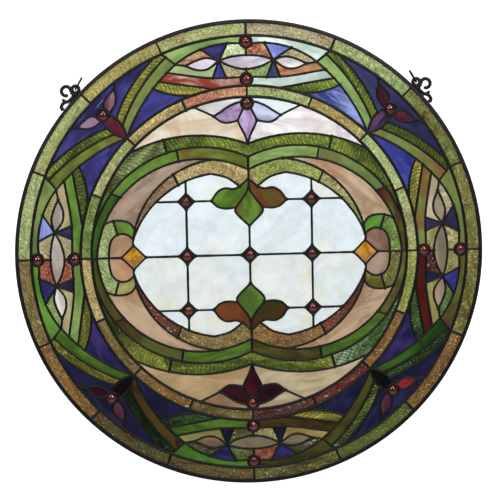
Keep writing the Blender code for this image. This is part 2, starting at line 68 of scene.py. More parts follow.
# How lines are drawn and joined, in millimetres, and the sines that count as the same way.
# Curves have more points for their length than arcs, and straight lines have fewer.
PITCH = 4.0
CURVE_DETAIL = 1.3
STRAIGHT_STRETCH = 1.5
CIRCLE_PARTS = 16
MERGE = 0.3
OVERSHOOT = 0.6
REACH = 9.0
SAME_PLACE = 0.04
SAME_WAY = 0.04
SAME_SIDE = 0.001
SLACK = 0.02

# How much the sheets' colours are deepened, how much more at the panel's foot as painted shade, and their
# share of grey
COLOUR_DEPTH = 1.4
PAINTED_FOOT_SHADE = 0.36
SHEET_GREY = 0.14
# The colour of the pale specks painted on granite glass as sparkle, a painted highlight
PAINTED_SPARKLE = "e8dcae"

# How far each sheet's streaks are drawn out, how far apart panes lie on their sheets, in metres, and
# how much the streaks stray from the way a pane runs, in radians
STREAK_STRETCH = (0.28, 1.0, 1.0)
SHEET_REACH = 4
STRAY = 0.02

# Lead and solder, in millimetres
SEAM_WIDTH = 3.9
SEAM_HEIGHT = 2.5
BOLD_WIDTH = 4.7
BOLD_HEIGHT = 2.8
SEAM_SIDES = 12
SEAM_WOBBLE = 0.06
JOINT_SPREAD = 2.9
JOINT_SIZES = (0.85, 1.12)
JOINT_GAP = 0.7 * SEAM_WIDTH

# The rim's section, in millimetres out from the centre and towards the front
RIM_SECTION = [(300.0, -3.5), (300.7, -4.2), (303.6, -4.2), (304.5, -3.7), (304.8, -2.9), (304.8, 2.9),
               (304.5, 3.7), (303.6, 4.2), (300.7, 4.2), (300.0, 3.5), (300.0, 1.8), (303.0, 1.8),
               (303.0, -1.8), (300.0, -1.8)]
RIM_STEPS = 180
RIM_CREASE = 40

# Jewels, in millimetres
JEWEL = 6.5
JEWEL_RING = 8.0
LATTICE_JEWEL = 6.0
LATTICE_JEWEL_RING = 7.3
JEWEL_RISE = 4.0
DIAMOND = 10.5
SQUARE = 15.6
SQUARE_JEWEL = 14.0
SQUARE_RISE = 2.1
TABLE_RISE = 2.6
TABLE_SHARE = 0.52
SEAT_RISE = 2.0
SEAT_INSET = 0.8

# Points of the drawing where several lines meet
STAR = (35.0, 252.5)
EYE_TIP = (91.0, 248.5)
LENS_TIP = (78.0, 246.5)
STRAP_FOOT = (153.0, 163.0)
PETAL_ROOT = (178.3, 187.0)
PETAL_TIP = (171.0, 219.0)
CRESCENT_TIP = (149.0, 37.0)
SCROLL_ROOT = (151.0, 24.0)
LEAF_TOP = (11.4, 89.7)
LATTICE_X = 81.5
LATTICE_Z = 71.5
LEAF_TIP = (48.8, LATTICE_Z)
LEAF_FOOT = (17.6, 62.2)
FLOWER_TIP = (43.4, 181.2)
FLOWER_WAIST = (12.5, 175.0)
AMBER = (151.2, 0.0)
OUTER_JEWELS = [(0.0, 276.0), (0.0, 228.0), (185.6, 185.6)]
FLOWER_JEWEL = (0.0, 197.5)
LATTICE_JEWELS = [(0.0, 0.0), (LATTICE_X, 0.0), (LATTICE_X, LATTICE_Z)]
DIVIDER = 22.5

# Hangers, in millimetres along the rim towards the top and out from it
HANGER_ANGLE = 43.0
HANGER_BAR = 4.6
HANGER_DEPTH = 2.6
CURL = (1.0, 13.2)
CURL_RADIUS = 5.8
CURL_TURNS = (-60, 235)
EYE = (10.5, 5.9)
EYE_RADIUS = 4.4
LINK_WIRE = 2.5
LINK_LENGTH = 19.0
LINK_WIDTH = 8.7
LINK_PLAY = 0.8
LINK_LEAN = 13.0
LINK_STEPS = 12
SPUR_KNOB = (-9.8, 8.8)
LOOP_KNOB = (-18.4, 1.8)
KNOB = 1.75
KNOB_RISE = 1.3
BAR_SIDES = 16
WIRE_SIDES = 14

# Camera and backdrop, in metres, and the camera's turns in degrees
CAMERA_PLACE = (-0.1104, -2.4, 0.3345)
CAMERA_TURNS = ((-2.64, "Z"), (-7.742, "X"), (1.139, "Y"), (90, "X"))
SENSOR = 36
LENS = 133.92
SWEEP_EDGE = -6
SWEEP_WIDTH = 12
SWEEP_LINE = ((-3, -1.5), (3.6, -1.5), (3.6, 4.5))
SWEEP_BEND = 0.6
SKY_STRENGTH = 0.14

# Lamps: name, place and width in metres, and power in watts
LAMPS = (("key", (0.75, -2.0, 0.75), 0.3, 32),
         ("side", (-0.95, -1.9, 0.6), 0.3, 21),
         ("above", (0, -1.0, 1.5), 0.8, 13))

# Sheets of glass: main colour, streaks, patches, and how much of the patches shows
SHEETS = {
    "white": ("d6dfe4", "dce4e7", "dedec6", 0.5),
    "warm white": ("d8dfe0", "dee3e0", "dfd9bc", 0.5),
    "pearl": ("c9c3c6", "eceaec", "d8c8b8", 0.4),
    "pearl lilac": ("b9b2bd", "dcd6de", "c8b8c8", 0.4),
    "cream": ("cec3ad", "e0d8c8", "d09a58", 0.55),
    "warm cream": ("bba886", "cbb894", "c79c74", 0.4),
    "ivory": ("bbae92", "cdc2a8", "a99b7c", 0.4),
    "tan": ("ac9270", "bda488", "98785a", 0.4),
    "peach": ("b99a78", "cbb090", "c08a70", 0.4),
    "mauve beige": ("97816f", "b5a391", "a98f80", 0.5),
    "rose beige": ("ad947a", "c9b498", "b8845e", 0.5),
    "mauve brown": ("8c6c5e", "a5897a", "6e5450", 0.4),
    "grey beige": ("a79c90", "c4bab0", "b0a8a4", 0.4),
    "drab": ("8e8370", "a59a84", "7c7066", 0.4),
    "pale mint": ("b4c68e", "d6e2ba", "eef2e0", 0.5),
    "mint white": ("bccbc4", "e2eae6", "8fb09c", 0.5),
    "sage": ("85a05a", "a3b97a", "6f8448", 0.4),
    "pale sage": ("a6b585", "c2cca2", "8ea068", 0.4),
    "dull sage": ("788a50", "92a266", "7a6a3e", 0.6),
    "grass": ("688434", "80a048", "567026", 0.5),
    "bright grass": ("6a9438", "82ac4c", "58822c", 0.5),
    "deep green": ("3c5c24", "5e8638", "2a4218", 0.5),
    "leaf": ("5f7e2a", "7c9c38", "8a4c22", 0.8),
    "rust leaf": ("84522a", "6c7430", "9a5c2c", 0.6),
    "brown leaf": ("525a22", "6e4a22", "6a5a24", 0.6),
    "olive": ("6f7a2e", "8a9240", "7c4a24", 0.6),
    "gold olive": ("86862a", "a2a23c", "5c6e24", 0.5),
    "brown olive": ("6c6436", "7c8244", "5e4a26", 0.7),
    "dark olive": ("62602a", "7a7a36", "4c441e", 0.5),
    "dark brown": ("5e4e24", "7a6a34", "463a1a", 0.5),
    "sage to brown": ("7e8c4e", "8a9858", "92562e", 0.7),
    "grass to brown": ("5c8432", "68482a", "74392a", 0.8),
    "olive to red": ("56602a", "6a6c30", "8c3a1e", 0.6),
    "khaki": ("9a9658", "b4b078", "847a44", 0.5),
    "pale khaki": ("aca27a", "c3ba94", "948a60", 0.4),
    "rust": ("a04e2c", "c08a5c", "7c2c1a", 0.6),
    "rust and cream": ("a85a36", "d0b284", "8c2e1c", 0.6),
    "brick to white": ("a04c34", "d8bfb0", "b87860", 0.6),
    "rose brick": ("9a4c38", "b46e50", "7c2c24", 0.5),
    "maroon": ("50201a", "6e3020", "32120e", 0.5),
    "navy": ("3c3e66", "504f7a", "32324e", 0.6),
    "deep navy": ("32335a", "43446c", "4b4b76", 0.5),
    "violet": ("434079", "57559e", "393061", 0.7),
    "cobalt": ("3a3f8c", "5560b4", "2c2f70", 0.5),
    "slate": ("39405f", "525b80", "2a2f4a", 0.4),
    "purple blue": ("3c376c", "5a4c8a", "28264e", 0.6),
    "cloudy blue": ("4a569c", "a4b2e0", "303a7c", 0.7),
    "periwinkle": ("8490cc", "a8b4e6", "6c78bc", 0.4),
    "wine": ("66203a", "8a4460", "b47890", 0.5),
    "purple": ("3c2040", "6e5478", "a088a8", 0.5),
    "magenta": ("58243e", "74364e", "3c1a34", 0.5),
    "near black": ("1c0e14", "2a1620", "120810", 0.4),
    "lilac": ("8f729c", "c4aed0", "6c4a7c", 0.6),
    "blue lilac": ("a3a4c4", "ccd0e2", "8c84b0", 0.5),
    "mauve": ("a0809c", "c4a8c0", "7c5a7c", 0.5),
    "dusky mauve": ("7c4c60", "a07c90", "522c40", 0.6),
    "plum": ("4a1c32", "623044", "34122a", 0.5),
    "crimson": ("8c1e34", "aa3c4c", "5e1226", 0.5),
    "dark wine": ("5c1430", "742440", "3c0c20", 0.5),
    "sage gold": ("a0a468", "c0c28c", "8c4c2c", 0.8),
    "sage stone": ("98aa68", "b8c48c", "7c8c50", 0.4),
    "gold stone": ("a4945a", "c4b47c", "8c6c3c", 0.5),
    "khaki stone": ("8c7c42", "a8965a", "a0582c", 0.7),
    "green stone": ("6c8a3a", "90a850", "8c8444", 0.6),
    "lime stone": ("929c44", "b2b868", "7c8438", 0.4),
    "salmon stone": ("b06c48", "cc9c78", "94482c", 0.5),
    "brick stone": ("6e2c1c", "94482e", "4c1c14", 0.5),
    "tan stone": ("96785a", "b09474", "7c5a40", 0.5),
    "green and red stone": ("8ca860", "b0bc80", "8c3424", 0.9),
    "sage to rust stone": ("9ca870", "b4b880", "9c3c2c", 0.9),
    "red edged stone": ("a8a078", "b8b08a", "6e201c", 0.9),
    "sage stone, spotted": ("9ea868", "b4b87c", "8c4c2c", 0.5),
    "amber gold stone": ("a09856", "b6ae66", "b07030", 0.8),
    "moss stone": ("6e7436", "8e9448", "6a3a1a", 0.9),
    "rust gold stone": ("8e6c2e", "a88a3c", "8a4c1e", 0.7),
    "brown moss stone": ("80602c", "7a7a34", "96501f", 0.8),
    "dark khaki stone": ("78682e", "8e8238", "6a4e20", 0.6),
    "dark lime stone": ("6c7e2a", "8a9638", "5a7028", 0.5),
    "dark gold stone": ("8a7c44", "a09252", "86582c", 0.6),
    "dark rust stone": ("743e24", "8e5630", "4e2414", 0.6),
    "yellow moss stone": ("7c7c34", "969444", "6a5026", 0.6),
    "sage ripple": ("6c7c3c", "a0b074", "50602c", 0.5),
    "lime ripple": ("788624", "acb44c", "4c5c1c", 0.5),
    "moss ripple": ("68761e", "98a83c", "44541a", 0.5),
    "gold ripple": ("8c8c26", "bcb848", "667024", 0.4),
    "dark ripple": ("40592c", "648048", "2c4020", 0.5),
    "pale ripple": ("6c8a4c", "c0ccb4", "50703a", 0.7),
}

# Panes of an octant: piece, relief, a point inside, and the sheets, first of the upright copies and
# then of the level ones, each at the upper left, upper right, lower left and lower right
OCTANT_PANES = [
    # The upper right upright copy of this pane is cut from mint white, a painted reflection of light on the
    # green band
    ("cartouche", "smooth", (50, 274),
     ("sage", "mint white", "bright grass", "dark olive"),
     ("dull sage", "sage to brown", "bright grass", "brown olive")),
    ("cartouche", "granite", (12, 264),
     ("pale mint", "rust and cream", "olive", "rust"), ("pale khaki", "khaki", "rose brick", "khaki")),
    ("cartouche", "smooth", (38, 264),
     ("violet", "periwinkle", "violet", "violet"), ("periwinkle", "navy", "violet", "cobalt")),
    ("cartouche", "granite", (66, 257.5),
     ("rust and cream", "pale khaki", "brown olive", "brown olive"),
     ("khaki", "pale khaki", "sage", "grass")),
    ("cartouche", "smooth", (0, 250),
     ("pearl lilac", "pearl lilac", "drab", "drab"), ("grey beige", "drab", "grey beige", "drab")),
    ("cartouche", "granite", (14, 238),
     ("pale khaki", "sage", "olive", "khaki"), ("pale khaki", "khaki", "rose brick", "maroon")),
    ("cartouche", "smooth", (35, 240),
     ("cobalt", "slate", "navy", "navy"), ("navy", "navy", "navy", "deep navy")),
    ("cartouche", "smooth", (56, 249),
     ("pearl lilac", "pearl", "mauve beige", "drab"), ("grey beige", "drab", "pearl", "mauve beige")),
    ("cartouche", "smooth", (58, 236.5),
     ("pale sage", "rust and cream", "khaki", "gold stone"),
     ("pale khaki", "ivory", "pale khaki", "khaki")),
    ("cartouche", "smooth", (60, 224),
     ("brick to white", "mint white", "grass", "dark brown"), ("grass", "sage to brown", "sage", "maroon")),
    ("cartouche", "ripple", (92, 216.5),
     ("gold ripple", "moss ripple", "dark ripple", "gold ripple"),
     ("moss ripple", "gold ripple", "gold ripple", "dark ripple")),
    ("strap", "smooth", (100, 203),
     ("violet", "cloudy blue", "navy", "navy"), ("violet", "cobalt", "purple blue", "purple blue")),
    ("strap", "smooth", (132.3, 213.4),
     ("sage to brown", "sage", "dark brown", "dark olive"),
     ("olive", "sage to brown", "grass", "deep green")),
    ("strap", "ripple", (142, 221),
     ("gold olive", "moss ripple", "dark ripple", "moss ripple"),
     ("moss ripple", "moss ripple", "gold ripple", "dark ripple")),
    ("strap", "smooth", (155, 228),
     ("violet", "navy", "deep navy", "navy"), ("violet", "navy", "navy", "deep navy")),
    ("corner_flower", "smooth", (176.5, 203),
     ("dusky mauve", "magenta", "dusky mauve", "dusky mauve"), ("mauve", "magenta", "magenta", "crimson")),
    ("strap", "smooth", (197, 197),
     ("violet", "navy", "navy", "navy"), ("violet", "navy", "navy", "navy")),
    ("corner_flower", "smooth", (170, 170),
     ("wine", "purple", "near black", "near black"), ("wine", "purple", "near black", "near black")),
]

# Panes of a quadrant, with their sheets at the upper left, upper right, lower left and lower right
QUADRANT_PANES = [
    ("field", "smooth", (90, 165), ("cream", "pearl", "warm cream", "ivory")),
    ("field", "smooth", (48, 196), ("pearl", "white", "tan", "ivory")),
    ("flower", "smooth", (26, 184), ("lilac", "blue lilac", "plum", "plum")),
    ("flower", "smooth", (0, 170), ("lilac", "lilac", "dark wine", "dark wine")),
    ("band", "ripple", (0, 137), ("moss ripple", "moss ripple", "lime ripple", "lime ripple")),
    ("band", "ripple", (135, 138), ("sage ripple", "moss ripple", "lime ripple", "pale ripple")),
    ("band", "smooth", (45, 133), ("olive", "sage", "grass", "dark olive")),
    ("band", "smooth", (140, 106), ("grass", "dull sage", "brown olive", "grass")),
    ("band", "smooth", (196, 40), ("deep green", "grass to brown", "olive to red", "brown olive")),
    ("crescent", "smooth", (140, 80), ("mauve beige", "rose beige", "rose beige", "rose beige")),
    ("band", "granite", (45, 115), ("gold stone", "lime stone", "khaki stone", "rust gold stone")),
    ("band", "granite", (133.4, 63.6), ("tan stone", "khaki", "dark rust stone", "dark rust stone")),
    ("leaf", "smooth", (28, 74), ("leaf", "rust leaf", "rust leaf", "brown leaf")),
    ("leaf", "smooth", (0, 62), ("leaf", "leaf", "grass", "grass")),
    *[("lattice", "smooth", place, ("white", "white", "warm white", "warm white"))
      for place in ((30, 30), (110, 35), (65, 86), (94, 80))],
    ("scroll", "smooth", (162, 40), ("grass", "bright grass", "khaki", "yellow moss stone")),
    ("scroll", "granite", (190, 20),
     ("sage stone", "green stone", "sage stone", "yellow moss stone")),
    ("scroll", "smooth", (170, 14), ("tan", "mauve brown", "peach", "mauve beige")),
]

# Sheets of the panes between the circles, from the right-hand divider anticlockwise
RING_SHEETS = ["sage to rust stone", "sage stone", "amber gold stone", "green and red stone",
               "salmon stone", "gold stone", "sage gold", "green stone",
               "gold stone", "dark gold stone", "rust gold stone", "dark gold stone",
               "dark rust stone", "brick stone", "rust gold stone", "lime stone"]
BORDER_SHEETS = ["yellow moss stone", "moss stone", "sage stone", "red edged stone",
                 "sage stone, spotted", "amber gold stone", "sage stone, spotted", "sage stone",
                 "dark gold stone", "rust gold stone", "brown moss stone", "dark khaki stone",
                 "yellow moss stone", "dark lime stone", "rust gold stone", "yellow moss stone"]


def on_circle(radius, degrees):
    angle = math.radians(degrees)
    return (radius * math.cos(angle), radius * math.sin(angle))


def circle_line(radius, centre=(0.0, 0.0)):
    """A closed circle, with a point at each divider's angle."""
    steps = max(CIRCLE_PARTS, round(2 * math.pi * radius / PITCH / CIRCLE_PARTS) * CIRCLE_PARTS)
    places = [on_circle(radius, 360 * i / steps) for i in range(steps + 1)]
    return [(centre[0] + x, centre[1] + z) for x, z in places]


def arc(start, end, bulge):
    """An arc whose middle stands bulge to the left of the straight way from start to end."""
    chord = math.dist(start, end)
    turn = 4 * math.atan2(2 * abs(bulge), chord)
    radius = chord / 2 / math.sin(turn / 2)
    across = Vector((start[1] - end[1], end[0] - start[0])) * math.copysign(1 / chord, bulge)
    centre = (Vector(start) + Vector(end)) / 2 + across * (abs(bulge) - radius)
    spoke = Vector(start) - centre
    steps = max(2, round(turn * radius / PITCH))
    turns = [Matrix.Rotation(-math.copysign(turn, bulge) * i / steps, 2) for i in range(steps + 1)]
    return [tuple(centre + turned @ spoke) for turned in turns]


def flowing(points):
    """A smooth curve through the points."""
    places = [Vector(point) for point in points]
    places = [places[0] * 2 - places[1]] + places + [places[-1] * 2 - places[-2]]
    curve = []
    for before, start, end, after in zip(places, places[1:], places[2:], places[3:]):
        steps = max(1, round((end - start).length / PITCH * CURVE_DETAIL))
        for i in range(steps):
            t = i / steps
            bend = (before * -1 + start * 3 - end * 3 + after) * t ** 3
            bend += (before * 2 - start * 5 + end * 4 - after) * t ** 2
            curve.append(tuple((bend + (end - before) * t + start * 2) / 2))
    return curve + [tuple(places[-2])]


def straight(start, end):
    steps = max(1, round(math.dist(start, end) / PITCH / STRAIGHT_STRETCH))
    return [tuple(Vector(start).lerp(Vector(end), i / steps)) for i in range(steps + 1)]


def across_axis(line):
    """The line, which starts on the upright axis, carried on to its mirror image."""
    return [(-x, z) for x, z in reversed(line[1:])] + line


def across_side(line):
    """The line, which starts on the level axis, carried on to its mirror image."""
    return [(x, -z) for x, z in reversed(line[1:])] + line


def four(lines):
    """The lines with their mirror images, each place once."""
    copies = {}
    for line in lines:
        for across, up in ((1, 1), (-1, 1), (1, -1), (-1, -1)):
            copy = [(x * across, z * up) for x, z in line]
            key = frozenset((round(x, 1) + 0.0, round(z, 1) + 0.0) for x, z in copy)
            copies.setdefault(key, copy)
    return list(copies.values())


def eight(lines):
    """The lines of an octant with all their mirror images, each place once."""
    return four([half for line in lines for half in (line, [(z, x) for x, z in line])])


def diamond(centre, half):
    """A square that stands on its corner."""
    x, z = centre
    corners = [(x + half, z), (x, z + half), (x - half, z), (x, z - half)]
    return [straight(start, end) for start, end in zip(corners, corners[1:] + corners[:1])]


def outer_lines():
    """The seams between the ring and the border, of one octant."""
    corner = on_circle(RING_OUTER, 45)
    return [
        straight(EYE_TIP, on_circle(BORDER, 90 - DIVIDER)),
        straight(corner, STRAP_FOOT),
        arc(STRAP_FOOT, EYE_TIP, -6.3),
        flowing([corner, (159, 168), (166, 178.5), PETAL_ROOT]),
        flowing([PETAL_ROOT, (170.5, 198), (168.5, 209), PETAL_TIP]),
        straight(PETAL_TIP, on_circle(BORDER, 53.5)),
        flowing([PETAL_ROOT, (184, 196), (183, 205), PETAL_TIP]),
        arc((7.2, 274), EYE_TIP, 8.6),
        straight(STAR, (24.2, 274)),
        straight(STAR, (56.5, 266)),
        straight(STAR, (26.3, 231)),
        straight(STAR, (43.2, 231)),
        flowing(across_axis([(0, 259), (20, 257), STAR])),
        flowing(across_axis([(0, 241), (20, 245), STAR])),
        flowing([STAR, (51, 256.2), (65, 252.7), LENS_TIP]),
        flowing([STAR, (49.5, 242), (63.5, 241), LENS_TIP]),
        straight(LENS_TIP, EYE_TIP),
        flowing([(7.4, 230.7), (50, 230.7), (100, 238)]),
        straight((0, 259), (0, 268.5)),
        straight((0, 241), (0, 235.5)),
        straight((41, 216), (110, 226.5)),
        arc((67, 209.5), (117.5, 217), -3.5),
        arc((161, 172), (105, 256.5), -5.5),
        arc((168, 183), (116, 260), -5.5),
    ]


def medallion_lines():
    """The seams inside the ring, of one quadrant."""
    lines = [
        arc((0, 144.8), on_circle(RING_INNER, 41), 16.8),
        arc((0, 128), on_circle(RING_INNER, 9), 52.9),
        arc((0, 111.2), (198.9, 0), 61.5),
        arc((43, 125.6), CRESCENT_TIP, 21.7),
        straight(CRESCENT_TIP, SCROLL_ROOT),
        straight((0, 99.6), LEAF_TOP),
        flowing([LEAF_TOP, (28, 101.5), (48, 107)]),
        arc((48, 107), SCROLL_ROOT, 18.6),
        flowing([SCROLL_ROOT, (151.8, 19.8), (AMBER[0], SQUARE)]),
        straight((0, 93), (0, 128)),
        flowing([LEAF_TOP, (19.8, 86.4), (31.5, 87.5), (41, 82.4), LEAF_TIP]),
        flowing([LEAF_TIP, (43.3, 65.9), (38.9, 62.9), (30, 61), LEAF_FOOT]),
        flowing([LEAF_FOOT, (18, 57), (12.6, 50), (6.3, 44), (0, 37.5)]),
        flowing([(0, 92), (2.2, 83.5), (7.3, 75.4), LEAF_FOOT]),
        flowing([(7.3, 199.2), (14, 197.8), (25, 193), (33, 187.5), FLOWER_TIP]),
        flowing([FLOWER_TIP, (34, 173.9), (25.2, 172.5), FLOWER_WAIST]),
        flowing([FLOWER_WAIST, (9.3, 167.7), (3.7, 156.5), (0, 144.8)]),
        flowing([(4.4, 191.4), (9.2, 182), FLOWER_WAIST]),
        flowing([FLOWER_TIP, (52, 185.5), on_circle(RING_INNER, 70.3)]),
        flowing([CRESCENT_TIP, (155.5, 45.5), (167, 49), (178, 48.3), (187.6, 45)]),
        flowing(across_side([(183.5, 0), (181, 20), (174, 29), (165.5, 31.5), (158, 29.5), SCROLL_ROOT])),
        straight((176.3, 47.5), (171.3, 30.5)),
        straight((108.7, 150), (105.4, 135.5)),
        straight((89.6, 124), (92.2, 139.5)),
        straight((165.8, 79.5), (178, 84)),
        straight((97, 106.5), (92.5, 96.3)),
        straight((AMBER[0] + SQUARE, 0), (RING_INNER, 0)),
        straight((DIAMOND, 0), (LATTICE_X - DIAMOND, 0)),
        straight((LATTICE_X + DIAMOND, 0), (AMBER[0] - SQUARE, 0)),
        straight(LEAF_TIP, (LATTICE_X - DIAMOND, LATTICE_Z)),
        straight((LATTICE_X + DIAMOND, LATTICE_Z), (117, LATTICE_Z)),
        straight((0, DIAMOND), (0, 37.5)),
        straight((LATTICE_X, DIAMOND), (LATTICE_X, LATTICE_Z - DIAMOND)),
        straight((LATTICE_X, LATTICE_Z + DIAMOND), (LATTICE_X, 97.5)),
    ]
    for centre in LATTICE_JEWELS:
        lines += diamond(centre, DIAMOND)
    return lines + diamond(AMBER, SQUARE)


def divider_lines():
    """The short seams across the ring and the border."""
    lines = []
    for i in range(round(360 / DIVIDER)):
        lines.append(straight(on_circle(RING_INNER, DIVIDER * i), on_circle(RING_OUTER, DIVIDER * i)))
        lines.append(straight(on_circle(BORDER, DIVIDER * i), on_circle(GLASS_EDGE, DIVIDER * i)))
    return lines


def copies_of(points):
    """The places of lines that are single points, in order."""
    return sorted({copy[0] for copy in points})


def sides_of(lines):
    """Every side of the lines, each with the ends of the line that it belongs to."""
    return [(Vector(start), Vector(stop), (line[0], line[-1])) for line in lines
            for start, stop in zip(line, line[1:])]


def met(line, sides):
    """The line with each free end brought to the nearest seam that lies on its way."""
    spots = [Vector(point) for point in line]
    for tip, inner in ((0, 1), (-1, -2)):
        end = spots[tip]
        along = (end - spots[inner]).normalized()
        near = [(start, stop) for start, stop, ends in sides
                if (start - end).length < REACH + 2 * PITCH and ends != (line[0], line[-1])]
        if any(min((start - end).length, (stop - end).length) < MERGE for start, stop in near):
            continue
        best = REACH
        for start, stop in near:
            side, gap = stop - start, start - end
            turn = along.x * side.y - along.y * side.x
            if abs(turn) > SAME_WAY:
                reach = (gap.x * side.y - gap.y * side.x) / turn
                share = (gap.x * along.y - gap.y * along.x) / turn
                if -SLACK < share < 1 + SLACK and abs(reach) < abs(best):
                    best = reach
        if best == REACH:
            continue
        while len(spots) > 2 and -best >= (spots[tip] - spots[inner]).length:
            best += (spots[tip] - spots[inner]).length
            del spots[tip]
        spots[tip] = spots[tip] + along * best
    return [tuple(spot) for spot in spots]


def joined(lines):
    """The lines' points and edges, with shared points joined and free ends drawn a little on."""
    points = []
    uses = []
    cells = {}

    def index_of(place):
        column, row = round(place.x), round(place.y)
        for near in ((column + i, row + j) for i in (-1, 0, 1) for j in (-1, 0, 1)):
            for index in cells.get(near, ()):
                if (points[index] - place).length < MERGE:
                    return index
        cells.setdefault((column, row), []).append(len(points))
        points.append(place)
        uses.append(0)
        return len(points) - 1

    runs = [[index_of(Vector(point)) for point in line] for line in lines]
    for run in runs:
        for index in set(run):
            uses[index] += 1
    edges = set()
    for run in runs:
        for end, inner in ((0, 1), (-1, -2)):
            if uses[run[end]] == 1:
                place = points[run[end]]
                place += (place - points[run[inner]]).normalized() * OVERSHOOT
        edges.update(tuple(sorted(pair)) for pair in zip(run, run[1:]) if pair[0] != pair[1])
    return points, sorted(edges)


def without_spurs(points, edges):
    """The edges that are left once every loose end is cut back to its crossing."""
    edges = set(edges)
    while True:
        count = [0] * len(points)
        for edge in edges:
            for index in edge:
                count[index] += 1
        loose = {edge for edge in edges if 1 in (count[edge[0]], count[edge[1]])}
        if not loose:
            return sorted(edges)
        edges -= loose


def arranged(lines):
    """The outlines of the spaces between the lines, and the places where lines meet."""
    crossed = delaunay_2d_cdt(*joined(lines), [], 3, MERGE / 10)
    kept = without_spurs(crossed[0], crossed[1])
    points, edges, faces = delaunay_2d_cdt(crossed[0], kept, [], 3, MERGE / 10)[:3]
    outlines = [[points[index] for index in face] for face in faces]
    meets = [0] * len(points)
    for edge in edges:
        for index in edge:
            meets[index] += 1
    joints = []
    for point, count in zip(points, meets):
        if count > 2 and all((point - other).length > JOINT_GAP for other in joints):
            joints.append(point)
    return outlines, joints


def plain(outline):
    """The outline without the points that all but share a place."""
    kept = outline[:1]
    for point in outline[1:]:
        if min((point - kept[-1]).length, (point - kept[0]).length) > SAME_PLACE:
            kept.append(point)
    return kept


def crossing(first, second):
    """Where two sides cross, or the second one's start if they run the same way."""
    (start, along), (other, heading) = first, second
    turn = along.x * heading.y - along.y * heading.x
    if abs(turn) < SAME_SIDE:
        return other.copy()
    reach = ((other.x - start.x) * heading.y - (other.y - start.y) * heading.x) / turn
    return start + along * reach


def trimmed(outline, distance):
    """The outline moved inwards, without the sides that vanish on the way."""
    sides = []
    for start, end in zip(outline, outline[1:] + outline[:1]):
        along = (end - start).normalized()
        sides.append((start + Vector((-along.y, along.x)) * distance, along))
    while len(sides) > 3:
        corners = [crossing(sides[i - 1], sides[i]) for i in range(len(sides))]
        following = corners[1:] + corners[:1]
        lengths = [(end - start).dot(along) for start, end, (_, along) in zip(corners, following, sides)]
        shortest = min(range(len(sides)), key=lengths.__getitem__)
        if lengths[shortest] > SAME_PLACE:
            return corners
        del sides[shortest]
    return []


def inside(point, outline):
    """Whether the point is inside the outline."""
    crossings = 0
    for start, end in zip(outline, outline[1:] + outline[:1]):
        if (start.y > point[1]) != (end.y > point[1]):
            share = (point[1] - start.y) / (end.y - start.y)
            crossings += point[0] < start.x + share * (end.x - start.x)
    return crossings % 2 == 1


def run_of(outline):
    """The middle of the outline, and the way that it is longest."""
    middle = sum(outline, Vector((0, 0))) / len(outline)
    wide = tall = mixed = 0.0
    for start, end in zip(outline, outline[1:] + outline[:1]):
        length = (end - start).length
        reach = (start + end) / 2 - middle
        wide += length * reach.x ** 2
        tall += length * reach.y ** 2
        mixed += length * reach.x * reach.y
    return middle, math.atan2(2 * mixed, wide - tall) / 2


def pane_orders():
    """Every pane of the panel: its piece, relief, a point inside it and its sheet."""
    quarters = ((-1, 1), (1, 1), (-1, -1), (1, -1))
    orders = []
    for piece, relief, (x, z), upright, level in OCTANT_PANES:
        for (across, up), sheet, other in zip(quarters, upright, level):
            orders.append((piece, relief, (x * across, z * up), sheet))
            orders.append((piece, relief, (z * across, x * up), other))
    for piece, relief, (x, z), sheets in QUADRANT_PANES:
        for (across, up), sheet in zip(quarters, sheets):
            orders.append((piece, relief, (x * across, z * up), sheet))
    for piece, radius, sheets in (("ring", (RING_INNER + RING_OUTER) / 2, RING_SHEETS),
                                  ("border", (BORDER + GLASS_EDGE) / 2, BORDER_SHEETS)):
        for i, sheet in enumerate(sheets):
            orders.append((piece, "granite", on_circle(radius, DIVIDER * (i + 0.5)), sheet))
    return orders


def tint(code, alpha=1.0):
    """A colour written as hex, in the renderer's linear values."""
    parts = [int(code[i:i + 2], 16) / 255 for i in (0, 2, 4)]
    return (*[p / 12.92 if p <= 0.04045 else ((p + 0.055) / 1.055) ** 2.4 for p in parts], alpha)


def deep(code, depth, alpha=1.0):
    """The colour of a sheet of glass, deepened and a little greyed, because its gloss lightens it."""
    parts = [channel ** depth for channel in tint(code)[:3]]
    grey = sum(parts) / 3 * SHEET_GREY
    return (*[part * (1 - SHEET_GREY) + grey for part in parts], alpha)


def new_material(name, roughness, gloss=0.35):
    """A material, its nodes and its shader."""
    made = bpy.data.materials.new(name)
    made.use_nodes = True
    shader = made.node_tree.nodes["Principled BSDF"]
    shader.inputs["Roughness"].default_value = roughness
    shader.inputs["Specular IOR Level"].default_value = gloss
    return made, made.node_tree, shader


def node(tree, kind, values=None, **settings):
    """A new node with its settings, input values and input links."""
    made = tree.nodes.new("ShaderNode" + kind)
    for key, value in settings.items():
        setattr(made, key, value)
    for key, value in (values or {}).items():
        if isinstance(value, bpy.types.NodeSocket):
            tree.links.new(value, made.inputs[key])
        else:
            made.inputs[key].default_value = value
    return made


def noise(tree, vector, scale, detail=2.0, roughness=0.5, distortion=0.0):
    """Noise of a scale in features for a metre."""
    made = node(tree, "TexNoise", {"Vector": vector, "Scale": scale, "Detail": detail,
                                   "Roughness": roughness, "Distortion": distortion})
    return made.outputs["Fac"]


def between(tree, value, low, high, floor=0.0, top=1.0):
    """The value eased from floor at low to top at high."""
    made = node(tree, "MapRange", {"Value": value, "From Min": low, "From Max": high,
                                   "To Min": floor, "To Max": top}, interpolation_type="SMOOTHSTEP")
    return made.outputs["Result"]


def times(tree, first, second):
    return node(tree, "Math", {0: first, 1: second}, operation="MULTIPLY").outputs[0]


def plus(tree, first, second):
    return node(tree, "Math", {0: first, 1: second}, operation="ADD").outputs[0]


def blended(tree, share, first, second, way="MIX"):
    """The first colour with its share of the second one."""
    made = node(tree, "Mix", data_type="RGBA", blend_type=way)
    for key, value in ((0, share), (6, first), (7, second)):
        if isinstance(value, bpy.types.NodeSocket):
            tree.links.new(value, made.inputs[key])
        else:
            made.inputs[key].default_value = value
    return made.outputs[2]


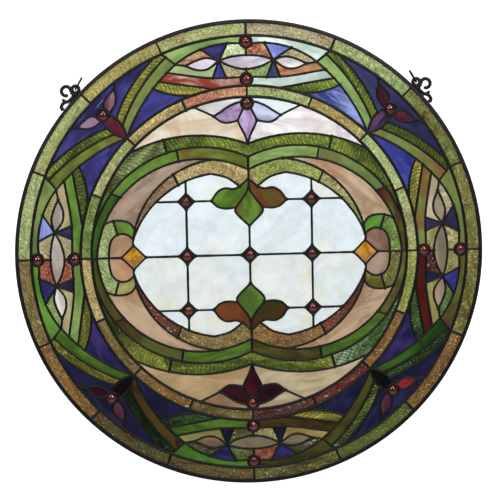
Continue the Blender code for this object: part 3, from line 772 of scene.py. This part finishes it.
def bumped(tree, shader, height, strength, depth):
    """Give the surface bumps of the height and of a depth in metres."""
    bump = node(tree, "Bump", {"Height": height, "Strength": strength, "Distance": depth}).outputs[0]
    tree.links.new(bump, shader.inputs["Normal"])


def smooth_relief(tree, place, drawn, colour, streak):
    """The colour, its shade, and the height, strength and depth of gentle swells."""
    shade = between(tree, noise(tree, place, 55, 5, 0.65), 0.32, 0.66, 0.92, 1.05)
    return colour, shade, noise(tree, drawn, 60, 3, 0.5, 0.4), 0.45, 0.0012


def granite_relief(tree, place, drawn, colour, streak):
    """The same of a mottled surface of grains, with painted glints, pale painted sparkle, and painted light
    and shade that follow the grains' bumps.
    """
    grain = noise(tree, place, 420, 3, 0.65)
    mottle = between(tree, noise(tree, place, 110, 3, 0.6), 0.38, 0.66, 0.0, 0.75)
    colour = blended(tree, mottle, colour, streak)
    # Painted glints: the colour is brightened by its own share in small spots, a painted highlight
    painted_glints = between(tree, noise(tree, place, 560, 2, 0.6), 0.56, 0.68)
    colour = blended(tree, painted_glints, colour, colour, "ADD")
    # Painted sparkle: pale specks blended into the colour, a painted highlight
    painted_sparkle = between(tree, noise(tree, place, 400, 1, 0.5), 0.66, 0.74, 0.0, 0.6)
    colour = blended(tree, painted_sparkle, colour, tint(PAINTED_SPARKLE))
    # The shade follows the grains' height: painted shade in the pits and painted light on the tops
    return colour, between(tree, grain, 0.3, 0.62, 0.42, 1.15), grain, 1.0, 0.0022


def ripple_relief(tree, place, drawn, colour, streak):
    """The same of slanting ripples, with painted glints on their crests, and painted light and shade across
    the crests and troughs.
    """
    slanted = node(tree, "Mapping", {"Vector": place, "Rotation": (0, 0.5, 0)}).outputs[0]
    wave = node(tree, "TexWave", {"Vector": slanted, "Scale": 70.0, "Distortion": 6.0,
                                  "Detail": 3.0, "Detail Scale": 2.4},
                wave_type="BANDS", bands_direction="X").outputs["Fac"]
    # Painted glints: spots of brightened colour on the crests, a painted highlight; they also raise the
    # bumps
    painted_glints = between(tree, noise(tree, place, 420, 2, 0.6), 0.56, 0.68)
    colour = blended(tree, times(tree, painted_glints, wave), colour, colour, "ADD")
    height = plus(tree, wave, times(tree, painted_glints, 0.5))
    # The shade follows the waves: painted shade in the troughs and painted light on the crests
    return colour, between(tree, wave, 0.0, 1.0, 0.68, 1.2), height, 1.0, 0.0016


# Surfaces of sheet glass, each with its relief and its roughness, in the order of the pieces' materials
SURFACES = {
    "smooth": (smooth_relief, 0.16),
    "granite": (granite_relief, 0.2),
    "ripple": (ripple_relief, 0.16),
}


def art_glass(surface):
    """Opalescent sheet glass that reads each pane's own colours, flow and part of the sheet."""
    relief, roughness = SURFACES[surface]
    glass, tree, shader = new_material(f"{surface} art glass", roughness)
    main = node(tree, "Attribute", attribute_name="main_colour").outputs["Color"]
    streak = node(tree, "Attribute", attribute_name="streak_colour").outputs["Color"]
    patch = node(tree, "Attribute", attribute_name="patch_colour")
    shift = node(tree, "Attribute", attribute_name="sheet_part").outputs["Vector"]
    flow = node(tree, "Attribute", attribute_name="flow_angle").outputs["Fac"]
    place = node(tree, "TexCoord").outputs["Object"]
    turned = node(tree, "VectorRotate", {"Vector": place, "Angle": flow}, rotation_type="Y_AXIS").outputs[0]
    moved = node(tree, "VectorMath", {0: turned, 1: shift}, operation="ADD").outputs[0]
    drawn = node(tree, "Mapping", {"Vector": moved, "Scale": STREAK_STRETCH}).outputs[0]
    streaks = between(tree, noise(tree, drawn, 42, 5, 0.6, 1.1), 0.4, 0.62)
    clouds = between(tree, noise(tree, moved, 15, 3, 0.55, 0.6), 0.5, 0.66)
    colour = blended(tree, streaks, main, streak)
    colour = blended(tree, times(tree, clouds, patch.outputs["Alpha"]), colour, patch.outputs["Color"])
    colour, shade, height, strength, depth = relief(tree, moved, drawn, colour, streak)
    # The shade multiplies the colour: random tone on smooth glass, painted light and shade that follow the
    # bumps on granite and ripple glass
    grey = node(tree, "CombineColor", {"Red": shade, "Green": shade, "Blue": shade}).outputs[0]
    tree.links.new(blended(tree, 1.0, colour, grey, "MULTIPLY"), shader.inputs["Base Color"])
    bumped(tree, shader, height, strength, depth)
    return glass


def patina(name, dark, light, roughness):
    """Blackened solder or iron with worn, slightly brighter places."""
    metal, tree, shader = new_material(name, roughness, 0.18)
    place = node(tree, "TexCoord").outputs["Object"]
    worn = between(tree, noise(tree, place, 90, 4, 0.6), 0.5, 0.75)
    tree.links.new(blended(tree, worn, tint(dark), tint(light)), shader.inputs["Base Color"])
    bumps = plus(tree, noise(tree, place, 160, 2), times(tree, noise(tree, place, 700, 2), 0.3))
    bumped(tree, shader, bumps, 0.35, 0.0009)
    return metal


def jewel_glass(name, core, edge, roughness):
    """Pressed glass, clouded inside with its core and edge colours."""
    glass, tree, shader = new_material(name, roughness)
    place = node(tree, "TexCoord").outputs["Object"]
    clouds = between(tree, noise(tree, place, 120, 3, 0.5, 0.8), 0.38, 0.66)
    tree.links.new(blended(tree, clouds, tint(core), tint(edge)), shader.inputs["Base Color"])
    bumped(tree, shader, noise(tree, place, 260, 2), 0.15, 0.0004)
    shader.inputs["Coat Weight"].default_value = 0.6
    shader.inputs["Coat Roughness"].default_value = 0.05
    return glass


def shown(name, data):
    """A new object of the scene that shows the data."""
    made = bpy.data.objects.new(name, data)
    bpy.context.scene.collection.objects.link(made)
    return made


def place_mesh(name, shape, materials, slot, *nodes, smooth=False):
    """The bmesh, which is in millimetres, as a finished piece of the panel."""
    bmesh.ops.recalc_face_normals(shape, faces=shape.faces)
    shape.transform(UPRIGHT)
    data = bpy.data.meshes.new(name)
    shape.to_mesh(data)
    shape.free()
    for finish in materials:
        data.materials.append(finish)
    if smooth:
        data.shade_smooth()
    made = shown(name, data)
    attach(made, "root")
    if nodes:
        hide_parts(*nodes)
    return made


def spread(x, z, depth, width, height):
    """The matrix that makes a round shape of radius 1 as wide and high as given, at its place."""
    return Matrix.Translation((x, z, depth)) @ Matrix.Diagonal((width, width, height, 1))


def layer_of(layers, name):
    return layers.get(name) or layers.new(name)


def raised_pane(shape, outline, middle, lean):
    """A pane of even thickness whose faces lean a little, as its corners."""
    corners = []
    for point in outline:
        depth = GLASS_FRONT + lean.dot(point - middle)
        corners.append(shape.verts.new((point.x, point.y, depth)))
    front = shape.faces.new(corners)
    back = bmesh.ops.extrude_face_region(shape, geom=[front], use_keep_orig=True)["geom"]
    moved = [item for item in back if isinstance(item, bmesh.types.BMVert)]
    bmesh.ops.translate(shape, verts=moved, vec=(0, 0, -2 * GLASS_FRONT))
    return corners + moved


def cut_panes(outlines):
    """Cut every pane from its sheet, and gather the panes in one piece for each part of the panel."""
    luck = random.Random(11)
    shapes = {}
    taken = set()
    for piece, surface, place, sheet in pane_orders():
        found = next((i for i, outline in enumerate(outlines) if inside(place, outline)), None)
        if found is None or found in taken:
            continue
        taken.add(found)
        outline = trimmed(plain(outlines[found]), GLASS_UNDER_LEAD)
        if not outline:
            continue
        if piece not in shapes:
            shapes[piece] = bmesh.new()
        layers = shapes[piece].verts.layers
        colours = [layer_of(layers.float_color, f"{name}_colour") for name in ("main", "streak", "patch")]
        part = layer_of(layers.float_vector, "sheet_part")
        flow = layer_of(layers.float, "flow_angle")
        middle, turn = run_of(outline)
        size = max((point - middle).length for point in outline)
        lean = Vector((luck.uniform(-1, 1), luck.uniform(-1, 1))) * min(STEEPEST_LEAN, PANE_LEAN / size)
        verts = raised_pane(shapes[piece], outline, middle, lean)
        main, streak, patch, share = SHEETS[sheet]
        # Panes lower in the panel are deepened further, a painted shade that darkens the glass towards the
        # foot
        depth = COLOUR_DEPTH + PAINTED_FOOT_SHADE * min(1.0, max(0.0, -place[1] / RING_OUTER))
        values = (deep(main, depth), deep(streak, depth), deep(patch, depth, share))
        spot = Vector([luck.uniform(-SHEET_REACH, SHEET_REACH) for _ in range(3)])
        for vert in verts:
            for layer, value in zip(colours, values):
                vert[layer] = value
            vert[part] = spot
            vert[flow] = turn + luck.uniform(-STRAY, STRAY)
        for face in {face for vert in verts for face in vert.link_faces}:
            face.material_index = list(SURFACES).index(surface)
    return shapes


def bar_profile(width, height, sides):
    """The closed section that a seam or bar is drawn with."""
    section = bpy.data.curves.new("bar section", "CURVE")
    section.dimensions = "2D"
    run = section.splines.new("POLY")
    run.points.add(sides - 1)
    for i, point in enumerate(run.points):
        x, z = on_circle(1, 360 * (i + 0.5) / sides)
        point.co = (width / 2 * x, height * z, 0, 1)
    run.use_cyclic_u = True
    return shown("bar section", section)


def drawn_bars(shape, runs, width, height, sides, wobble=0.0):
    """Draw a bar of oval section along each run of points, into the bmesh."""
    luck = random.Random(5)
    profile = bar_profile(width, height, sides)
    path = bpy.data.curves.new("bar path", "CURVE")
    path.dimensions = "3D"
    path.twist_mode = "Z_UP"
    path.bevel_mode = "OBJECT"
    path.bevel_object = profile
    path.use_fill_caps = True
    for run in runs:
        closed = math.dist(run[0], run[-1]) < MERGE
        points = run[:-1] if closed else run
        line = path.splines.new("POLY")
        line.points.add(len(points) - 1)
        for point, spot in zip(points, line.points):
            spot.co = (point[0], point[1], point[2] if len(point) > 2 else 0, 1)
            spot.radius = 1 + luck.uniform(-wobble, wobble)
        line.use_cyclic_u = closed
    drawn = shown("bar path", path)
    bpy.context.view_layer.update()
    mesh = bpy.data.meshes.new_from_object(drawn.evaluated_get(bpy.context.evaluated_depsgraph_get()))
    shape.from_mesh(mesh)
    for old in (drawn, profile):
        bpy.data.objects.remove(old)
    bpy.data.meshes.remove(mesh)


def solder_seams(fine, bold, joints, lead):
    """The lead lines, round on both faces, with a flattened drop of solder where they meet."""
    luck = random.Random(8)
    for name, runs, width, height in (("fine_seams", fine, SEAM_WIDTH, SEAM_HEIGHT),
                                      ("bold_seams", bold, BOLD_WIDTH, BOLD_HEIGHT)):
        shape = bmesh.new()
        drawn_bars(shape, runs, width, height, SEAM_SIDES, SEAM_WOBBLE)
        if name == "fine_seams":
            for joint in joints:
                size = JOINT_SPREAD * luck.uniform(*JOINT_SIZES)
                drop = spread(joint.x, joint.y, 0, size, BOLD_HEIGHT)
                bmesh.ops.create_icosphere(shape, subdivisions=2, radius=1, matrix=drop)
        nodes = ["lead_network"] if name == "fine_seams" else []
        place_mesh(name, shape, [lead], "lead", *nodes, smooth=True)


def turned_rim(iron):
    """The rim, a channel turned from its section."""
    shape = bmesh.new()
    corners = [shape.verts.new((reach, 0, depth)) for reach, depth in RIM_SECTION]
    sides = [shape.edges.new(pair) for pair in zip(corners, corners[1:] + corners[:1])]
    bmesh.ops.spin(shape, geom=corners + sides, cent=(0, 0, 0), axis=(0, 0, 1), angle=2 * math.pi,
                   steps=RIM_STEPS, use_merge=True, use_duplicate=False)
    rim = place_mesh("rim_channel", shape, [iron], "iron", "rim", smooth=True)
    rim.data.set_sharp_from_angle(angle=math.radians(RIM_CREASE))


def from_rim(along, out, side):
    """A place given by its way along the rim from the hanger's middle and its way out."""
    angle = math.radians(HANGER_ANGLE) + along / EDGE
    return (side * (EDGE + out) * math.cos(angle), (EDGE + out) * math.sin(angle))


def scroll(centre, radius, start, end):
    steps = max(8, round(abs(end - start) / 12))
    places = [on_circle(radius, start + (end - start) * i / steps) for i in range(steps + 1)]
    return [(centre[0] + x, centre[1] + z) for x, z in places]


def hanger_lines():
    """The hanger's bars: foot, neck, curl, eye, lower loop and spur."""
    curl = scroll(CURL, CURL_RADIUS, *CURL_TURNS)
    return [
        flowing([(13.5, 1.7), (6, 1.9), (-2, 1.7), (-9, 2.7)]),
        flowing([(4.5, 1.7), (5.4, 4.5), curl[0]]),
        flowing([(2.5, 1.7), (4.0, 4.8), curl[0]]),
        curl,
        scroll(EYE, EYE_RADIUS, 0, 360),
        flowing([(-7, 2.6), (-10, 4.6), (-14.5, 6), (-18.6, 4.8), (-20.5, 2.4), (-18.4, 1.75)]),
        [(-10, 4.4), (-9.9, 7), (-9.8, 8.6)],
    ]


def forged_hangers(iron):
    """Two scroll hangers, mirror images, with round knobs at the ends of their scrolls."""
    knobs = [scroll(CURL, CURL_RADIUS, *CURL_TURNS)[-1], SPUR_KNOB, LOOP_KNOB]
    for name, side in (("right", 1), ("left", -1)):
        shape = bmesh.new()
        runs = [[from_rim(along, out, side) for along, out in line] for line in hanger_lines()]
        drawn_bars(shape, runs, HANGER_BAR, HANGER_DEPTH / 2, BAR_SIDES)
        for along, out in knobs:
            ball = spread(*from_rim(along, out, side), 0, KNOB, KNOB_RISE)
            bmesh.ops.create_icosphere(shape, subdivisions=3, radius=1, matrix=ball)
        place_mesh(f"{name}_scroll_hanger", shape, [iron], "iron", f"{name}_hanger", smooth=True)


def chain_links(iron):
    """An oval link of round wire in each hanger's eye, edge on to the front."""
    for name, side in (("right", 1), ("left", -1)):
        turn = math.radians(HANGER_ANGLE + 90 - LINK_LEAN)
        pull = Vector((side * math.cos(turn), math.sin(turn), 0))
        bend = (LINK_WIDTH - LINK_WIRE) / 2
        lift = EYE_RADIUS - (HANGER_BAR + LINK_WIRE) / 2 - LINK_PLAY + bend
        low = Vector((*from_rim(*EYE, side), 0)) + pull * lift
        high = low + pull * (LINK_LENGTH - LINK_WIDTH)
        loop = []
        for centre, start in ((high, 0), (low, 180)):
            for i in range(LINK_STEPS + 1):
                back, out = on_circle(bend, start + 180 * i / LINK_STEPS)
                loop.append(tuple(centre + pull * out + Vector((0, 0, back))))
        shape = bmesh.new()
        drawn_bars(shape, [loop + loop[:1]], LINK_WIRE, LINK_WIRE / 2, WIRE_SIDES)
        place_mesh(f"{name}_oval_link", shape, [iron], "iron", f"{name}_chain_link", smooth=True)


def raised_square(shape, place, half, low, high):
    """A block whose corners point up, down and to the sides, as its front face."""
    base = Matrix.Translation((*place, low))
    ring = bmesh.ops.create_circle(shape, cap_ends=True, segments=4, radius=half, matrix=base)
    back = ring["verts"][0].link_faces[0]
    grown = bmesh.ops.extrude_face_region(shape, geom=[back], use_keep_orig=True)["geom"]
    front = next(item for item in grown if isinstance(item, bmesh.types.BMFace))
    bmesh.ops.translate(shape, verts=front.verts, vec=(0, 0, high - low))
    return front


def set_jewels(round_places, lattice_places, round_glass, square_glass, lead):
    """Domed round jewels, and two square ones with a raised table."""
    stones = bmesh.new()
    for places, radius in ((round_places, JEWEL), (lattice_places, LATTICE_JEWEL)):
        for x, z in places:
            bmesh.ops.create_uvsphere(stones, u_segments=28, v_segments=16, radius=1,
                                      matrix=spread(x, z, GLASS_FRONT, radius, JEWEL_RISE))
    place_mesh("round_jewels", stones, [round_glass], "amber_glass", smooth=True)
    squares = bmesh.new()
    for x in (AMBER[0], -AMBER[0]):
        front = raised_square(squares, (x, 0), SQUARE_JEWEL, -GLASS_FRONT, SQUARE_RISE)
        grown = bmesh.ops.extrude_face_region(squares, geom=[front])["geom"]
        table = next(item for item in grown if isinstance(item, bmesh.types.BMFace))
        bmesh.ops.translate(squares, verts=table.verts, vec=(0, 0, TABLE_RISE))
        bmesh.ops.scale(squares, verts=table.verts, vec=(TABLE_SHARE, TABLE_SHARE, 1),
                        space=Matrix.Translation((-x, 0, 0)))
    place_mesh("square_jewels", squares, [square_glass], "amber_glass",
               "left_amber_diamond", "right_amber_diamond")
    seats = bmesh.new()
    for place in lattice_places:
        raised_square(seats, place, DIAMOND - SEAT_INSET, -SEAT_RISE, SEAT_RISE)
    place_mesh("jewel_seats", seats, [lead], "lead")


def each(words, end):
    """The names of nodes that differ in their first words."""
    return [f"{word}_{end}" for word in words]


SIDES = ("top", "bottom", "left", "right")
QUARTERS = ("upper_left", "upper_right", "lower_left", "lower_right")
HALVES = ("upper", "lower")

# The slot of each piece of panes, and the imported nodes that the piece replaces
GLASS_PIECES = {
    "lattice": ("white_glass", ["lattice_glass"]),
    "leaf": ("leaf_glass", each(HALVES, "leaves")),
    "flower": ("plum_glass", each(HALVES, "flower")),
    "scroll": ("green_glass", each(("left", "right"), "scroll_glass")),
    "ring": ("gold_glass", each(SIDES, "ring_glass")),
    "border": ("border_glass", each(SIDES, "border_glass")),
    "cartouche": ("cream_glass", each(SIDES, "cartouche_glass")),
    "band": ("green_glass", each(HALVES, "gold_band") + each(HALVES, "ripple_band")
                   + each(QUARTERS, "green_band")),
    "field": ("cream_glass", each(QUARTERS, "cream_field")),
    "crescent": ("beige_glass", each(QUARTERS, "beige_crescent")),
    "strap": ("blue_glass", [f"{quarter}_{way}_strap_glass" for quarter in QUARTERS
                                   for way in ("steep", "flat")]),
    "corner_flower": ("plum_glass", each(QUARTERS, "corner_flower")),
}


def build_panel():
    """All pieces of the panel."""
    lead = patina("blackened solder", "080807", "191815", 0.42)
    iron = patina("blackened iron", "070708", "151415", 0.5)
    finishes = [art_glass(surface) for surface in SURFACES]
    rings = [circle_line(radius) for radius in (RING_INNER, RING_OUTER, BORDER)]
    round_places = copies_of(eight([[point] for point in OUTER_JEWELS]) + four([[FLOWER_JEWEL]]))
    lattice_places = copies_of(four([[point] for point in LATTICE_JEWELS]))
    bezels = [circle_line(JEWEL_RING, place) for place in round_places]
    outer, inner = outer_lines(), medallion_lines()
    sides = sides_of(rings + bezels + eight(outer) + four(inner))
    outer, inner = [[met(line, sides) for line in lines] for lines in (outer, inner)]
    seams = eight(outer) + four(inner) + divider_lines() + bezels
    outlines, joints = arranged(rings + seams + [circle_line(GLASS_EDGE)])
    for piece, shape in cut_panes(outlines).items():
        slot, nodes = GLASS_PIECES[piece]
        place_mesh(f"{piece}_panes", shape, finishes, slot, *nodes)
    small_bezels = [circle_line(LATTICE_JEWEL_RING, place) for place in lattice_places]
    inner_joints = [joint for joint in joints if joint.length < BORDER + JOINT_SPREAD]
    solder_seams(seams + small_bezels, rings, inner_joints, lead)
    turned_rim(iron)
    forged_hangers(iron)
    chain_links(iron)
    round_glass = jewel_glass("amber red jewel glass", "2c0a05", "5e1c0d", 0.1)
    square_glass = jewel_glass("amber jewel glass", "8a5c14", "b8862a", 0.08)
    set_jewels(round_places, lattice_places, round_glass, square_glass, lead)


def build_studio():
    """A pale sweep for floor and background, soft lights and the camera."""
    sweep = bmesh.new()
    line = [sweep.verts.new((SWEEP_EDGE, *place)) for place in SWEEP_LINE]
    edges = [sweep.edges.new(pair) for pair in zip(line, line[1:])]
    wide = bmesh.ops.extrude_edge_only(sweep, edges=edges)["geom"]
    far = [item for item in wide if isinstance(item, bmesh.types.BMVert)]
    bmesh.ops.translate(sweep, verts=far, vec=(SWEEP_WIDTH, 0, 0))
    fold = [edge for edge in sweep.edges if all(vert.co.y > 0 and vert.co.z < 0 for vert in edge.verts)]
    bmesh.ops.bevel(sweep, geom=fold, offset=SWEEP_BEND, segments=12, profile=0.5,
                    affect="EDGES", material=-1)
    data = bpy.data.meshes.new("studio_sweep")
    sweep.to_mesh(data)
    sweep.free()
    data.shade_smooth()
    paper, tree, shader = new_material("white paper", 0.9)
    shader.inputs["Base Color"].default_value = (0.92, 0.92, 0.92, 1)
    shader.inputs["Emission Color"].default_value = (1, 1, 1, 1)
    place = node(tree, "SeparateXYZ", {"Vector": node(tree, "TexCoord").outputs["Object"]}).outputs["Y"]
    tree.links.new(between(tree, place, 0.0, 1.2, 0.05, 0.6), shader.inputs["Emission Strength"])
    data.materials.append(paper)
    backdrop = shown("studio_sweep", data)

    world = bpy.context.scene.world or bpy.data.worlds.new("studio")
    bpy.context.scene.world = world
    world.use_nodes = True
    sky = world.node_tree.nodes["Background"]
    sky.inputs["Color"].default_value = (0.96, 0.98, 1.0, 1)
    sky.inputs["Strength"].default_value = SKY_STRENGTH

    for name, place, size, power in LAMPS:
        light = bpy.data.lights.new(name, "AREA")
        light.size = size
        light.energy = power
        lamp = shown(name, light)
        lamp.location = place
        lamp.rotation_euler = (CENTRE - Vector(place)).to_track_quat("-Z", "Y").to_euler()

    view = bpy.data.cameras.new("camera")
    view.sensor_width = SENSOR
    view.lens = LENS
    camera = shown("camera", view)
    aim = Matrix.Identity(4)
    for degrees, axis in CAMERA_TURNS:
        aim = aim @ Matrix.Rotation(math.radians(degrees), 4, axis)
    camera.matrix_world = Matrix.Translation(CENTRE + Vector(CAMERA_PLACE)) @ aim
    bpy.context.scene.camera = camera
    bpy.context.scene.view_settings.view_transform = "Standard"


build_panel()
build_studio()
